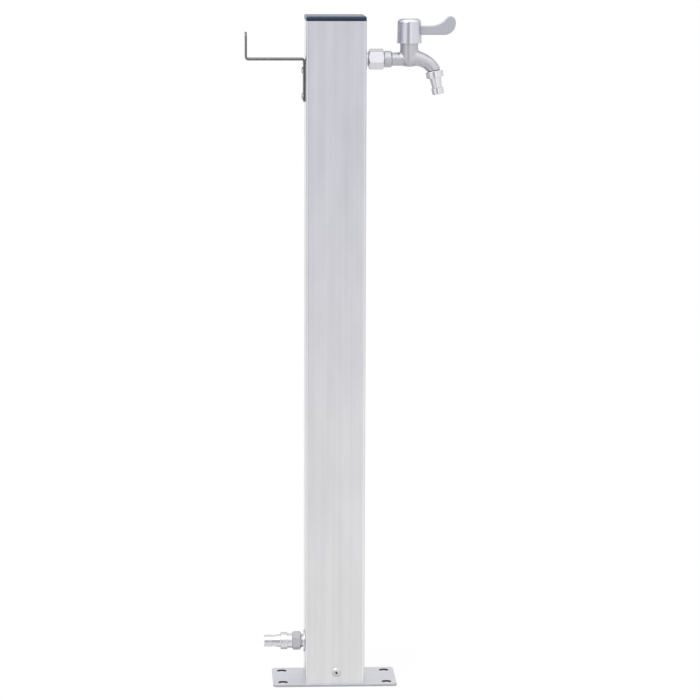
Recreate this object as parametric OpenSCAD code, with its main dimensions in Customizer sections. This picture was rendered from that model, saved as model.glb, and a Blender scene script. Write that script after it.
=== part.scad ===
// Garden standpipe: a square steel post on a bolted base plate, with a plastic cap, a lever tap
// on its right, a hose hook on its left and a plug-in hose inlet low on its left.
// The origin is the middle of the base plate's underside, +Z up, with the tap towards +X.

/* [Post] */
// Height from the floor to the top of the cap
height = 950; // [700:5:1200]
// Width of the square tube across its flats
tube_w = 84; // [78:1:100]
// Wall thickness of the tube
tube_wall = 1.5; // [1:0.1:3]
// Outer corner radius of the tube
tube_r = 3.5; // [3.2:0.1:6]

/* [Cap] */
// Height of the cap's head above the tube
cap_h = 6.5; // [4:0.5:12]
// Radius of the rounded edge round the top of the cap
cap_edge_r = 2; // [0.5:0.25:3]
// Depth of the skirt that plugs into the tube
cap_skirt_h = 14; // [8:1:25]
// Wall thickness of the skirt
cap_skirt_wall = 2; // [1.2:0.2:4]
// Gap between the skirt or the base socket and the tube, on each side
slip_gap = 0.25; // [0.1:0.05:0.5]

/* [Base] */
// Length of the base plate, left to right
plate_l = 176; // [165:1:260]
// Width of the base plate, front to back
plate_w = 100; // [96:1:200]
// Thickness of the base plate
plate_t = 3; // [2:0.5:10]
// Corner radius of the base plate
plate_r = 6; // [2:0.5:12]
// Distance from the plate's left or right end to the anchor holes
anchor_edge_x = 14; // [12:0.5:20]
// Distance from the plate's front or back edge to the anchor holes
anchor_edge_y = 17; // [12:0.5:24]
// Diameter of the anchor holes
anchor_d = 14; // [8:0.5:16]
// Height of the welded socket inside the tube's foot
socket_h = 28; // [26:1:30]
// Wall thickness of the socket
socket_wall = 3; // [2:0.5:5]
// Height of the drain hole above the floor
drain_z = 24; // [20:0.5:26]
// Place of the drain hole behind the middle of the tube's left face
drain_y = -12; // [-20:1:20]
// Diameter of the drain hole
drain_d = 10; // [6:0.5:12]
// Height of the two base screws above the floor
base_screw_z = 18.9; // [17:0.1:22]
// Sideways place of the two base screws
base_screw_x = 2; // [-10:0.5:10]
// Shank diameter of the base screws
base_screw_d = 6; // [5:0.5:8]
// Head diameter of the base screws
base_head_d = 13; // [11:0.5:14]
// Head height of the base screws
base_head_h = 3.2; // [2.6:0.1:5]

/* [Hose hook] */
// Width of the hook's strip
hook_w = 30; // [20:1:50]
// Thickness of the strip
hook_t = 3; // [2:0.25:4]
// Drop from the top of the cap to the top of the hook's arm
hook_drop = 59.3; // [45:0.1:300]
// Distance from the tube to the outside of the hook's upright
hook_reach = 84.5; // [60:0.5:110]
// Height of the upright above the arm's top
hook_up = 36; // [15:1:60]
// Length of the leg below the arm's top
hook_leg = 60.7; // [54:0.1:80]
// Outer radius of the hook's two bends
hook_bend_r = 5; // [4.5:0.25:8]
// Corner radius of the strip's ends
hook_end_r = 6; // [2:0.5:9]
// Drop from the arm's top to the upper hook screw
hook_screw_drop = 17.5; // [14:0.5:18]
// Distance between the two hook screws
hook_screw_gap = 36.2; // [20:0.1:36.2]
// Shank diameter of the hook screws
hook_screw_d = 5; // [3:0.5:5]
// Head diameter of the hook screws
hook_head_d = 9.6; // [9.2:0.1:11]
// Head height of the hook screws
hook_head_h = 2.6; // [2.4:0.1:4]

/* [Water line] */
// Height of the inlet's axis above the floor
inlet_z = 56; // [54:0.5:120]
// Drop from the top of the cap to the tap's axis
tap_drop = 61; // [52:0.5:300]
// Outside diameter of the half-inch parallel pipe threads
thread_d = 20.96; // [20:0.02:22]
// Bore of the threaded fittings
bore_d = 12; // [9:0.5:13]
// Diameter of the fittings' flanges on the tube
flange_d = 32; // [30:0.5:36]
// Thickness of those flanges
flange_t = 2; // [1:0.25:3]
// Outside diameter of the riser hose
hose_d = 19; // [18:0.5:21]
// Bore of the riser hose
hose_bore = 13; // [12:0.5:13.5]

/* [Inlet] */
// Length of bare thread between the flange and the inlet coupling
inlet_neck = 3.1; // [2:0.1:8]
// Length of the inlet coupling
coupling_l = 13.2; // [12:0.1:24]
// Width of the inlet coupling across its flats
coupling_af = 24; // [24:0.5:30]
// Length of the plug's neck between the coupling and its collar
plug_neck = 6.5; // [3:0.5:12]
// Diameter of that neck
plug_neck_d = 21.6; // [21:0.1:23]
// Diameter of the plug's round collar
plug_collar_d = 25.5; // [23:0.5:28]
// Length of the plug's collar
plug_collar_l = 10.2; // [6:0.2:14]
// Length of the plug's waist
plug_waist_l = 11.8; // [8:0.2:16]
// Length of the plug's tip
plug_tip_l = 11.4; // [8:0.2:16]
// Diameter of the plug's tip
plug_tip_d = 17.7; // [17:0.1:19]

/* [Tap] */
// Length of bare thread between the flange and the tap's nut
tap_neck = 2.1; // [1:0.1:8]
// Length of the tap's nut
tap_nut_l = 22.6; // [18:0.2:30]
// Width of the tap's nut across its flats
tap_nut_af = 26; // [25:0.5:30]
// Turn of the tap's nut about its axis, in degrees
tap_nut_turn = 13; // [0:1:59]
// Length of the collar behind the nut
tap_collar_l = 9.5; // [6:0.5:14]
// Diameter of that collar
tap_collar_d = 23.5; // [22:0.5:26]
// Diameter of the tap's pipe
tap_pipe_d = 18.8; // [17:0.1:21]
// Distance from the tube to the valve's axis
valve_reach = 61.5; // [58:0.5:80]
// Diameter of the valve's barrel
barrel_d = 25.2; // [24.6:0.1:26]
// Height of the barrel's top above the tap's axis
barrel_top = 23; // [22:0.5:30]
// Depth of the barrel's belly below the tap's axis
barrel_belly = 10.8; // [10:0.1:14]
// Distance from the valve's axis to the spout's end
spout_reach = 34.8; // [32:0.2:46]
// Drop from the tap's axis to the spout's end
spout_drop = 15.4; // [13:0.2:26]
// Tilt of the spout's end and nozzle from straight down, in degrees
spout_tilt = 11; // [0:1:20]
// Outer diameter of the spout at its end
spout_d = 19; // [18:0.5:21]

/* [Nozzle] */
// Diameter of the nozzle's thread in the spout
nozzle_thread_d = 13.2; // [12.6:0.1:14]
// Diameter of the nozzle's round collar
nozzle_collar_d = 25; // [22:0.5:28]
// Length of the nozzle's collar
nozzle_collar_l = 9.5; // [6:0.5:14]
// Length of the nozzle's waist
nozzle_waist_l = 14.1; // [8:0.1:18]
// Length of the nozzle's barrel
nozzle_tip_l = 9.5; // [8:0.1:16]
// Diameter of the nozzle's barrel
nozzle_tip_d = 17.3; // [16.6:0.1:19]

/* [Handle] */
// Diameter of the hub at its foot
hub_d = 34.8; // [34:0.2:40]
// Diameter of the hub at its shoulder
hub_top_d = 33.7; // [32:0.1:38]
// Height of the hub
hub_h = 34.8; // [34:0.2:42]
// Radius of the hub's rounded shoulder
hub_shoulder_r = 6; // [3:0.5:6.5]
// Diameter of the round cap in the hub's top
hub_cap_d = 17.7; // [14:0.1:19]
// Distance from the valve's axis to the lever's end
lever_reach = 65.3; // [56:0.1:78]
// Thickness of the lever's blade
lever_t = 5.5; // [4:0.5:8]
// Depth of the lever where it leaves the hub
lever_root_h = 12.8; // [10:0.2:16]
// Height of the lever's lower edge above the hub's foot
lever_lift = 11.6; // [8:0.2:14]
// Radius of the lever's rounded end
lever_end_r = 16.3; // [14:0.1:18]
// Radius of the lever's raised tip
lever_tip_r = 7.2; // [5:0.1:8]
// Radius of the hollow in the lever's top edge
lever_hollow_r = 29; // [24:0.5:34]

/* [Hidden] */

// Turned faces are smooth, and hulls keep to fewer sides
$fn = 64;
hull_fn = 32;
// Overlap that lets a cut run clean through a face
cut = 1;

// Clearances, each on a radius unless it is said to be a gap
thread_fit = 0.05;
shaft_fit = 0.05;
hole_clear = 0.3;
body_gap = 0.1;

// Post
tube_top = height - cap_h;
tap_z = height - tap_drop;
hook_z = height - hook_drop;
anchor_dx = plate_l - 2 * anchor_edge_x;
anchor_dy = plate_w - 2 * anchor_edge_y;
tube_in = tube_w - 2 * tube_wall;
tube_in_r = tube_r - tube_wall / 2;
face = tube_w / 2;
socket_w = tube_in - 2 * slip_gap;

// Slope of the turned ends of every hexagon, in degrees
hex_chamfer = 38;
// Step from a hexagon's flats in to its round end faces
hex_end_step = 0.2;

// Screws
base_head_edge = 0.8;
base_key_af = 3;
base_key_depth = 2;
base_nut_af = base_screw_d * 1.67;
base_nut_h = base_screw_d * 0.85;
base_grip = tube_wall + slip_gap + socket_wall;
hook_head_edge = 0.7;
hook_key_w = 1;
hook_key_l = 5;
hook_key_depth = 1.4;
hook_nut_af = hook_screw_d * 1.6;
hook_nut_h = hook_screw_d * 0.8;
hook_grip = hook_t + tube_wall;
hook_screw_z = [hook_z - hook_screw_drop, hook_z - hook_screw_drop - hook_screw_gap];
screw_tail = 1;
screw_point = 0.4;

// Fittings inside the tube, measured inwards from its outer face
seal_inset = 1;
seal_d = flange_d - 2 * seal_inset;
seal_t = 1.5;
lock_nut_af = 27;
lock_nut_h = 5;
lock_nut_at = tube_wall + seal_t;
elbow_gap = 0.8;
elbow_at = lock_nut_at + lock_nut_h + elbow_gap;
elbow_socket = 12;
stub_gap = 0.5;
stub_in = elbow_at + elbow_socket - stub_gap;

// Elbow and hose ends, measured up the riser from the leg's axis
elbow_wall = 3;
elbow_ball_wall = 0.5;
elbow_d = thread_d + 2 * elbow_wall;
elbow_neck_wall = 1.5;
elbow_neck_d = thread_d + 2 * elbow_neck_wall;
elbow_rise = 17;
elbow_thread = 11;
thread_end = elbow_rise + elbow_thread;
washer_t = 2;
washer_inset = 0.5;
washer_d = thread_d - 2 * washer_inset;
tail_flange_inset = 0.7;
tail_flange_d = thread_d - 2 * tail_flange_inset;
tail_flange_t = 3;
tail_at = thread_end + washer_t;
tail_hub_step = 1;
tail_hub_h = 8;
tail_hub_d = hose_bore + 2 * tail_hub_step;
tail_hub_top = tail_at + tail_flange_t + tail_hub_h;
tail_stem_l = 18;
tail_wall = 1.75;
tail_bore = hose_bore - 2 * tail_wall;
hose_nut_wall = 2.02;
hose_nut_af = thread_d + 2 * hose_nut_wall;
hose_nut_grip = 9;
hose_nut_low = thread_end - hose_nut_grip;
hose_nut_lip = tail_at + tail_flange_t;
hose_nut_lip_h = 2.6;
hose_nut_top = hose_nut_lip + hose_nut_lip_h;
ferrule_wall = 1.2;
ferrule_lip = 2;
ferrule_l = 20;

// Inlet stations, measured outwards from the tube's left face
gasket_t = 1.2;
gasket_d = thread_d - 2 * washer_inset;
coupling_at = flange_t + inlet_neck;
coupling_end = coupling_at + coupling_l;
coupling_mid = (coupling_at + coupling_end) / 2;
plug_collar_at = coupling_end + plug_neck;
plug_collar_edge = 1;
plug_bore = 10;
plug_waist_root_d = 19.2;
plug_waist_end_d = 16.5;
plug_root_l = 0.6;
plug_groove_l = 0.8;
plug_groove_h = 0.2;
plug_tip_edge = 0.4;
plug_lead = 1.2;

// Tap stations, measured outwards from the tube's right face
nut_at = flange_t + tap_neck;
nut_end = nut_at + tap_nut_l;
nut_mid = (nut_at + nut_end) / 2;
collar_end = nut_end + tap_collar_l;
collar_cone = (tap_collar_d - tap_pipe_d) / 2;
collar_edge = 0.8;
barrel_edge = 0.5;
valve_x = face + valve_reach;

// Valve, measured from the crossing of the tap's axis and the valve's axis
way_d = 9;
way_drop = 2.5;
seat_way_d = 8;
barrel_wall = 2.85;
chamber_d = barrel_d - 2 * barrel_wall;
seat_web = 2.5;
seal_h = 1.2;
fixed_h = 2.4;
turning_h = 2.2;
drive_h = 2.5;
roof_gap = 0.4;
seat_z = way_d / 2 - way_drop + seat_web;
seal_top = seat_z + seal_h;
fixed_top = seal_top + fixed_h;
turning_low = fixed_top + body_gap;
turning_top = turning_low + turning_h;
drive_top = turning_top + drive_h;
cartridge_roof = drive_top + roof_gap;
cartridge_wall = 1.25;
disc_port_rim = 1.6;
disc_clear = 0.2;
cartridge_d = chamber_d - 2 * body_gap;
disc_d = cartridge_d - 2 * cartridge_wall - 2 * disc_clear;
cartridge_hex_step = 1.6;
cartridge_hex_af = barrel_d - 2 * cartridge_hex_step;
cartridge_hex_h = 2.5;
cartridge_neck_d = 13;
cartridge_neck_h = 7.5;
cartridge_top = barrel_top + cartridge_hex_h + cartridge_neck_h;
spindle_d = 8;
spindle_shoulder_gap = 1;
spindle_square = 5.6;
square_clear = 0.1;

// Handle, measured from the same crossing
hub_overlap = 0.8;
hub_foot = barrel_top - hub_overlap;
hub_top = hub_foot + hub_h;
hub_cap_t = 3;
hub_cap_floor = hub_top - hub_cap_t;
hub_well_h = 6;
hub_floor = hub_cap_floor - hub_well_h;
hub_web = 11;
hub_roof = hub_floor - hub_web;
hub_cavity_gap = 1.65;
hub_cavity_d = barrel_d + 2 * hub_cavity_gap;
hub_foot_edge = 0.4;
spindle_top_gap = 0.5;
spindle_top = hub_floor - spindle_top_gap;
handle_screw_d = 4;
handle_screw_l = 12;
handle_screw_tip_gap = 1;
handle_head_d = 9.6;
handle_head_h = 3;
handle_key_af = 3;
handle_well_gap = 0.7;
handle_well_d = handle_head_d + 2 * handle_well_gap;
handle_cap_edge = 0.4;

// Lever outline, measured from the valve's axis and the hub's foot
lever_low = lever_lift;
lever_high = lever_lift + lever_root_h;
lever_end = [lever_reach - lever_end_r, lever_low + lever_end_r];
hollow_run = 19.5;
hollow = [lever_end[0] - hollow_run, lever_high + lever_hollow_r];
lever_tip = circle_meet(lever_end, lever_end_r - lever_tip_r, hollow, lever_hollow_r + lever_tip_r);
hollow_meet = lever_tip + lever_tip_r * unit(hollow - lever_tip);

// Nozzle
nozzle_thread_l = 6;
nozzle_washer_t = 0.8;
nozzle_washer_edge = 1.2;
nozzle_washer_d = spout_d - 2 * nozzle_washer_edge;
nozzle_bore = 9;
nozzle_waist_root_d = 17.5;
nozzle_waist_end_d = 14.2;
spout_end = [spout_reach, -spout_drop];
spout_dir = [sin(spout_tilt), -cos(spout_tilt)];
// The spout's curve runs from root to spout_end; each bend point pulls it on its way
spout_root_inset = 0.2;
spout_root_r = barrel_d / 2 - spout_root_inset;
spout_root = [2, 2.4];
spout_bend = [16.8, 2.9];
spout_pull = 9.5;
spout_pinch = 2;
spout_path = [spout_root, spout_bend, spout_end - spout_pull * spout_dir, spout_end];
way_root = [4, 12];
way_bend = [16, 3.2];
way_pull = 13;
way_stop = 2;
way_path = [way_root, way_bend, spout_end - way_pull * spout_dir, spout_end - way_stop * spout_dir];
way_root_r = 3.6;
way_end_r = 5;
spout_rings = 12;
spout_sides = 28;
way_sides = 16;

function unit(v) = v / norm(v);
function arc(centre, r, from, to, steps) =
    [for (i = [0:steps]) let (a = from + (to - from) * i / steps) centre + r * [cos(a), sin(a)]];
// The crossing of two circles that lies to the right of the line from c2 to c1
function circle_meet(c1, r1, c2, r2) =
    let (d = norm(c2 - c1), u = (c2 - c1) / d, a = (r1 * r1 - r2 * r2 + d * d) / (2 * d))
    c1 + a * u + sqrt(r1 * r1 - a * a) * [u[1], -u[0]];
function bezier(p, t) =
    let (s = 1 - t) s*s*s * p[0] + 3*s*s*t * p[1] + 3*s*t*t * p[2] + t*t*t * p[3];
function bezier_way(p, t) =
    let (s = 1 - t) unit(s*s * (p[1] - p[0]) + 2*s*t * (p[2] - p[1]) + t*t * (p[3] - p[2]));

// A tube along a curve in the XZ plane, its radius from r0 to r1, less the pinch in the middle
module swept(path, r0, r1, sides, pinch = 0) {
    points = [for (i = [0:spout_rings], j = [0:sides - 1])
        let (t = i / spout_rings, a = 360 * j / sides, c = bezier(path, t), w = bezier_way(path, t),
             r = r0 + (r1 - r0) * t - 4 * pinch * t * (1 - t))
        [c[0] - w[1] * r * cos(a), r * sin(a), c[1] + w[0] * r * cos(a)]];
    walls = [for (i = [0:spout_rings - 1], j = [0:sides - 1])
        let (a = i * sides + j, b = i * sides + (j + 1) % sides)
        [a, b, b + sides, a + sides]];
    first = [[for (j = [sides - 1:-1:0]) j]];
    last = [[for (j = [0:sides - 1]) spout_rings * sides + j]];
    polyhedron(points, concat(walls, first, last));
}

module ring(d_out, d_in, h) {
    difference() {
        cylinder(d = d_out, h = h);
        translate([0, 0, -cut]) cylinder(d = d_in, h = h + 2 * cut);
    }
}

module turned(profile) {
    rotate_extrude() polygon(profile);
}

// A hexagon prism with both ends turned to a chamfer
module chamfered_hex(af, l) {
    corner_r = af / 2 / cos(30);
    end_r = af / 2 - hex_end_step;
    wide_r = corner_r + hex_end_step;
    chamfer = min((wide_r - end_r) * tan(hex_chamfer), l / 3);
    intersection() {
        cylinder(r = corner_r, h = l, $fn = 6);
        turned([
            [0, 0], [end_r, 0], [wide_r, chamfer], [wide_r, l - chamfer], [end_r, l], [0, l]
        ]);
    }
}

module hex_nut(af, l, hole_d) {
    difference() {
        chamfered_hex(af, l);
        translate([0, 0, -cut]) cylinder(d = hole_d, h = l + 2 * cut);
    }
}

module rounded_square(w, l, r) {
    square([w - 2 * r, l], center = true);
    square([w, l - 2 * r], center = true);
    for (x = [-1, 1], y = [-1, 1])
        translate([x * (w / 2 - r), y * (l / 2 - r)]) circle(r = r);
}

module square_tube(w, r, wall, h) {
    difference() {
        linear_extrude(h) rounded_square(w, w, r);
        translate([0, 0, -cut])
            linear_extrude(h + 2 * cut) rounded_square(w - 2 * wall, w - 2 * wall, r - wall / 2);
    }
}

// Places that pieces share
module at_inlet(out) {
    translate([-face - out, 0, inlet_z]) rotate([0, -90, 0]) children();
}

module at_tap(out) {
    translate([face + out, 0, tap_z]) rotate([0, 90, 0]) children();
}

module at_valve() {
    translate([valve_x, 0, tap_z]) children();
}

module at_spout_end() {
    translate([valve_x + spout_end[0], 0, tap_z + spout_end[1]])
        rotate([0, 180 - spout_tilt, 0]) children();
}

module lower_end() {
    translate([0, 0, inlet_z]) children();
}

module upper_end() {
    translate([0, 0, tap_z]) rotate([0, 180, 0]) children();
}

module front_and_back() {
    for (side = [0, 1])
        translate([base_screw_x, (2 * side - 1) * face, base_screw_z])
            rotate([90 - 180 * side, 0, 0]) children();
}

// Drain hole in the left face, from outside the tube to a depth in it
module drain_hole(depth) {
    translate([-face - cut, drain_y, drain_z]) rotate([0, 90, 0]) cylinder(d = drain_d, h = depth + 2 * cut);
}

module at_hook_screws(out) {
    for (z = hook_screw_z)
        translate([-face - out, 0, z]) rotate([0, -90, 0]) children();
}

// Screw with its head above the seat at z = 0 and its shank below
module domed_screw(head_d, head_h, edge, shank_d, shank_l) {
    steps = 6;
    rise = head_h - edge;
    turned(concat(
        [[0, -shank_l], [shank_d / 2 - screw_point, -shank_l], [shank_d / 2, -shank_l + screw_point],
         [shank_d / 2, 0], [head_d / 2, 0]],
        [for (i = [0:steps]) let (a = 90 * i / steps) [head_d / 2 * cos(a), edge + rise * sin(a)]]
    ));
}

module post_tube() {
    color([0.78, 0.78, 0.80])
    difference() {
        translate([0, 0, plate_t]) square_tube(tube_w, tube_r, tube_wall, tube_top - plate_t);
        at_inlet(cut) mirror([0, 0, 1]) cylinder(d = thread_d + 2 * hole_clear, h = tube_wall + 2 * cut);
        at_tap(cut) mirror([0, 0, 1]) cylinder(d = thread_d + 2 * hole_clear, h = tube_wall + 2 * cut);
        at_hook_screws(cut) mirror([0, 0, 1])
            cylinder(d = hook_screw_d + 2 * hole_clear, h = tube_wall + 2 * cut);
        front_and_back() translate([0, 0, -tube_wall - cut])
            cylinder(d = base_screw_d + 2 * hole_clear, h = tube_wall + 2 * cut);
        drain_hole(tube_wall);
    }
}

// A slab with a soft top edge, on a hollow skirt that plugs into the tube
module top_cap() {
    skirt_w = tube_in - 2 * slip_gap;
    corner = face - tube_r;
    color([0.17, 0.20, 0.25]) {
        translate([0, 0, tube_top]) hull()
            for (x = [-1, 1], y = [-1, 1])
                translate([x * corner, y * corner, 0])
                    rotate_extrude($fn = hull_fn)
                        polygon(concat([[0, 0], [tube_r, 0]],
                            arc([tube_r - cap_edge_r, cap_h - cap_edge_r], cap_edge_r, 0, 90, 4),
                            [[0, cap_h]]));
        translate([0, 0, tube_top - cap_skirt_h])
            square_tube(skirt_w, tube_in_r, cap_skirt_wall, cap_skirt_h);
    }
}

module base_plate() {
    color([0.80, 0.80, 0.83])
    difference() {
        linear_extrude(plate_t) rounded_square(plate_l, plate_w, plate_r);
        for (x = [-1, 1], y = [-1, 1])
            translate([x * anchor_dx / 2, y * anchor_dy / 2, -cut])
                cylinder(d = anchor_d, h = plate_t + 2 * cut);
    }
}

module base_socket() {
    color([0.70, 0.70, 0.72])
    difference() {
        translate([0, 0, plate_t]) square_tube(socket_w, tube_in_r, socket_wall, socket_h);
        front_and_back() translate([0, 0, -base_grip - cut])
            cylinder(d = base_screw_d + 2 * hole_clear, h = base_grip + 2 * cut);
        drain_hole(base_grip);
    }
}

module base_screws() {
    color([0.82, 0.82, 0.84])
    front_and_back() difference() {
        domed_screw(base_head_d, base_head_h, base_head_edge, base_screw_d,
            base_grip + base_nut_h + screw_tail);
        translate([0, 0, base_head_h - base_key_depth])
            cylinder(d = base_key_af / cos(30), h = base_key_depth + cut, $fn = 6);
    }
}

module base_nuts() {
    color([0.72, 0.72, 0.70])
    front_and_back() translate([0, 0, -base_grip - base_nut_h])
        hex_nut(base_nut_af, base_nut_h, base_screw_d + 2 * thread_fit);
}

// One bent strip: a leg on the tube, an arm out to the left and an upright at its end
module hook_outline() {
    in_r = hook_bend_r - hook_t;
    bottom = hook_z - hook_leg;
    outer = -face - hook_reach;
    inner_corner = [-face - hook_bend_r, hook_z - hook_bend_r];
    outer_corner = [outer + hook_bend_r, hook_z - hook_t + hook_bend_r];
    translate([-face - hook_t, bottom]) square([hook_t, hook_leg - hook_bend_r]);
    translate([outer + hook_bend_r, hook_z - hook_t]) square([hook_reach - 2 * hook_bend_r, hook_t]);
    translate([outer, outer_corner[1]]) square([hook_t, hook_up - hook_bend_r + hook_t]);
    intersection() {
        translate(inner_corner) difference() { circle(r = hook_bend_r); circle(r = in_r); }
        translate(inner_corner) square(hook_bend_r);
    }
    intersection() {
        translate(outer_corner) difference() { circle(r = hook_bend_r); circle(r = in_r); }
        translate(outer_corner - [hook_bend_r, hook_bend_r]) square(hook_bend_r);
    }
}

module hose_hook() {
    strip_top = hook_z + hook_up;
    strip_bottom = hook_z - hook_leg;
    color([0.42, 0.42, 0.44])
    difference() {
        translate([0, hook_w / 2, 0]) rotate([90, 0, 0]) linear_extrude(hook_w) hook_outline();
        at_hook_screws(hook_t + cut) mirror([0, 0, 1])
            cylinder(d = hook_screw_d + 2 * hole_clear, h = hook_t + 2 * cut);
        for (y = [-1, 1]) {
            hook_corner_cut(-face - hook_t, strip_bottom, y, 1);
            hook_corner_cut(-face - hook_reach, strip_top, y, -1);
        }
    }
}

// The waste outside one rounded corner of the strip's end
module hook_corner_cut(x, z_end, side, up) {
    translate([x - cut, side * (hook_w / 2 - hook_end_r), z_end + up * hook_end_r])
        rotate([0, 90, 0]) difference() {
            translate([up < 0 ? -hook_end_r - cut : 0, side < 0 ? -hook_end_r - cut : 0, 0])
                cube([hook_end_r + cut, hook_end_r + cut, hook_t + 2 * cut]);
            translate([0, 0, -cut]) cylinder(r = hook_end_r, h = hook_t + 4 * cut);
        }
}

module hook_screws() {
    color([0.55, 0.55, 0.57])
    at_hook_screws(hook_t) difference() {
        domed_screw(hook_head_d, hook_head_h, hook_head_edge, hook_screw_d,
            hook_grip + hook_nut_h + screw_tail);
        for (turn = [0, 90])
            rotate(turn) translate([-hook_key_l / 2, -hook_key_w / 2, hook_head_h - hook_key_depth])
                cube([hook_key_l, hook_key_w, hook_key_depth + cut]);
    }
}

module hook_nuts() {
    color([0.72, 0.72, 0.70])
    at_hook_screws(-tube_wall - hook_nut_h)
        hex_nut(hook_nut_af, hook_nut_h, hook_screw_d + 2 * thread_fit);
}

// Threaded tail through the tube's wall, its flange outside at z = 0
module bulkhead(reach) {
    color([0.80, 0.80, 0.82])
    difference() {
        union() {
            translate([0, 0, -stub_in]) cylinder(d = thread_d, h = stub_in + reach);
            cylinder(d = flange_d, h = flange_t);
        }
        translate([0, 0, -stub_in - cut]) cylinder(d = bore_d, h = stub_in + reach + 2 * cut);
    }
}

module inside_seal() {
    color([0.12, 0.12, 0.12])
        translate([0, 0, -lock_nut_at]) ring(seal_d, thread_d + 2 * hole_clear, seal_t);
}

module lock_nut() {
    color([0.74, 0.66, 0.42])
        translate([0, 0, -lock_nut_at - lock_nut_h])
            hex_nut(lock_nut_af, lock_nut_h, thread_d + 2 * thread_fit);
}

// Elbow whose threaded socket looks along -X and whose threaded end looks up
module elbow() {
    leg = face - elbow_at;
    color([0.74, 0.66, 0.42])
    difference() {
        union() {
            sphere(d = elbow_d + 2 * elbow_ball_wall);
            rotate([0, -90, 0]) cylinder(d = elbow_d, h = leg);
            cylinder(d = elbow_neck_d, h = elbow_rise);
            cylinder(d = thread_d, h = thread_end);
        }
        translate([bore_d / 3, 0, 0]) rotate([0, -90, 0]) cylinder(d = bore_d, h = leg);
        translate([-leg - cut, 0, 0]) rotate([0, 90, 0])
            cylinder(d = thread_d + 2 * thread_fit, h = elbow_socket + cut);
        cylinder(d = bore_d, h = thread_end + cut);
    }
}

module hose_washer() {
    color([0.15, 0.15, 0.15])
        translate([0, 0, thread_end]) ring(washer_d, bore_d, washer_t);
}

module hose_tail() {
    color([0.74, 0.66, 0.42])
    translate([0, 0, tail_at]) difference() {
        union() {
            cylinder(d = tail_flange_d, h = tail_flange_t);
            cylinder(d = tail_hub_d, h = tail_hub_top - tail_at);
            cylinder(d = hose_bore - 2 * thread_fit, h = tail_hub_top - tail_at + tail_stem_l);
        }
        translate([0, 0, -cut]) cylinder(d = tail_bore, h = tail_hub_top - tail_at + tail_stem_l + 2 * cut);
    }
}

module hose_nut() {
    color([0.80, 0.80, 0.82])
    difference() {
        translate([0, 0, hose_nut_low]) chamfered_hex(hose_nut_af, hose_nut_top - hose_nut_low);
        translate([0, 0, hose_nut_low - cut])
            cylinder(d = thread_d + 2 * thread_fit, h = hose_nut_lip - hose_nut_low + cut);
        translate([0, 0, hose_nut_lip - cut])
            cylinder(d = tail_hub_d + 2 * hole_clear, h = hose_nut_top - hose_nut_lip + 2 * cut);
    }
}

module ferrule() {
    color([0.78, 0.78, 0.80])
    translate([0, 0, tail_hub_top - ferrule_lip]) difference() {
        cylinder(d = hose_d + 2 * ferrule_wall, h = ferrule_l);
        translate([0, 0, -cut]) cylinder(d = tail_hub_d + 2 * thread_fit, h = ferrule_lip + 2 * cut);
        translate([0, 0, ferrule_lip]) cylinder(d = hose_d + 2 * thread_fit, h = ferrule_l);
    }
}

module riser_hose() {
    color([0.10, 0.10, 0.11])
    translate([0, 0, inlet_z + tail_hub_top])
        ring(hose_d, hose_bore, tap_z - inlet_z - 2 * tail_hub_top);
}

// Plug-in hose fitting along +Z: neck and thread below z = 0, then collar, waist and tip
module hose_plug(neck, neck_d, stub, stub_d, collar_d, collar_l,
        waist_l, waist_d0, waist_d1, tip_l, tip_d, bore) {
    total = collar_l + waist_l + tip_l;
    difference() {
        union() {
            translate([0, 0, -neck - stub]) cylinder(d = stub_d, h = neck + stub);
            translate([0, 0, -neck]) cylinder(d = neck_d, h = neck);
            turned([
                [0, 0], [collar_d / 2 - plug_collar_edge, 0], [collar_d / 2, plug_collar_edge],
                [collar_d / 2, collar_l - plug_collar_edge], [collar_d / 2 - plug_collar_edge, collar_l],
                [waist_d0 / 2, collar_l], [waist_d0 / 2, collar_l + plug_root_l],
                [waist_d1 / 2, collar_l + waist_l - plug_groove_l],
                [waist_d1 / 2 - plug_groove_h, collar_l + waist_l],
                [tip_d / 2 - plug_tip_edge, collar_l + waist_l],
                [tip_d / 2, collar_l + waist_l + plug_tip_edge],
                [tip_d / 2, total - plug_lead], [tip_d / 2 - plug_lead / 2, total], [0, total]
            ]);
        }
        translate([0, 0, -neck - stub - cut]) cylinder(d = bore, h = neck + stub + total + 2 * cut);
    }
}

module inlet_plug() {
    stub = plug_collar_at - plug_neck - coupling_mid - gasket_t / 2;
    color([0.83, 0.83, 0.85])
    at_inlet(plug_collar_at)
        hose_plug(plug_neck, plug_neck_d, stub, thread_d, plug_collar_d, plug_collar_l,
            plug_waist_l, plug_waist_root_d, plug_waist_end_d, plug_tip_l, plug_tip_d, plug_bore);
}

module inlet_coupling() {
    color([0.76, 0.76, 0.78])
    at_inlet(coupling_at) hex_nut(coupling_af, coupling_l, thread_d + 2 * thread_fit);
}

module joint_gasket() {
    color([0.12, 0.12, 0.12])
        translate([0, 0, -gasket_t / 2]) ring(gasket_d, bore_d, gasket_t);
}

module inlet_gasket() {
    at_inlet(coupling_mid) joint_gasket();
}

module inlet_bulkhead() {
    at_inlet(0) bulkhead(coupling_mid - gasket_t / 2);
}

module inlet_seal() {
    at_inlet(0) inside_seal();
}

module inlet_lock_nut() {
    at_inlet(0) lock_nut();
}

module inlet_elbow() {
    lower_end() elbow();
}

module lower_hose_washer() {
    lower_end() hose_washer();
}

module lower_hose_tail() {
    lower_end() hose_tail();
}

module lower_hose_nut() {
    lower_end() hose_nut();
}

module lower_ferrule() {
    lower_end() ferrule();
}

module upper_ferrule() {
    upper_end() ferrule();
}

module upper_hose_nut() {
    upper_end() hose_nut();
}

module upper_hose_tail() {
    upper_end() hose_tail();
}

module upper_hose_washer() {
    upper_end() hose_washer();
}

module outlet_elbow() {
    upper_end() elbow();
}

module outlet_lock_nut() {
    at_tap(0) lock_nut();
}

module outlet_seal() {
    at_tap(0) inside_seal();
}

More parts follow.
